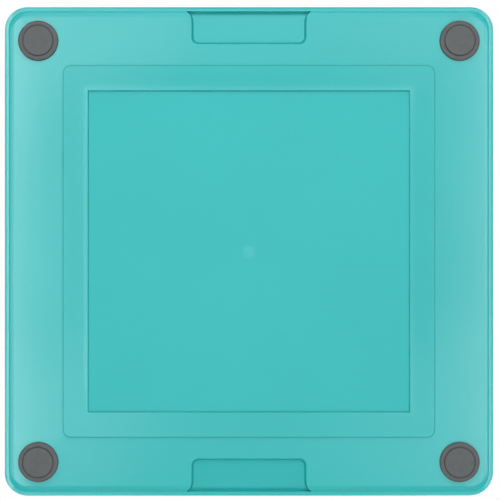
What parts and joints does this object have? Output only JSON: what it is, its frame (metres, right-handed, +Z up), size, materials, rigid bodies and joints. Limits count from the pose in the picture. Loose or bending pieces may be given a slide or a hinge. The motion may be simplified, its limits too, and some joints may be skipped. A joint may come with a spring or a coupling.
{
  "type": "dog lick mat",
  "caption": "Square dog lick mat: a soft nubbed mat lies in a rigid plastic holder with a rim, a spill channel, rubber feet and finger pockets under opposite edges.",
  "frame": {"origin": "on the floor under the middle of the holder, level with the undersides of the feet", "axes": "+Z up, +X to the right, +Y to the back; the finger pockets are under the front and back edges"},
  "size_m": [0.245, 0.245, 0.017],
  "materials": {
    "holder_plastic": "semi-gloss turquoise moulding",
    "mat_rubber": "matt soft turquoise rubber",
    "foot_rubber": "matt dark grey rubber"
  },
  "bodies": {
    "holder": {"holder": "holder_plastic", "foot_front_left": "foot_rubber", "foot_front_right": "foot_rubber", "foot_back_left": "foot_rubber", "foot_back_right": "foot_rubber"},
    "mat": {"lick_mat": "mat_rubber"}
  },
  "joints": [
    {"name": "mat_lift", "type": "slide", "parent": "holder", "child": "mat", "axis": [0, 0, 1], "range_m": [0, 0.04]}
  ]
}
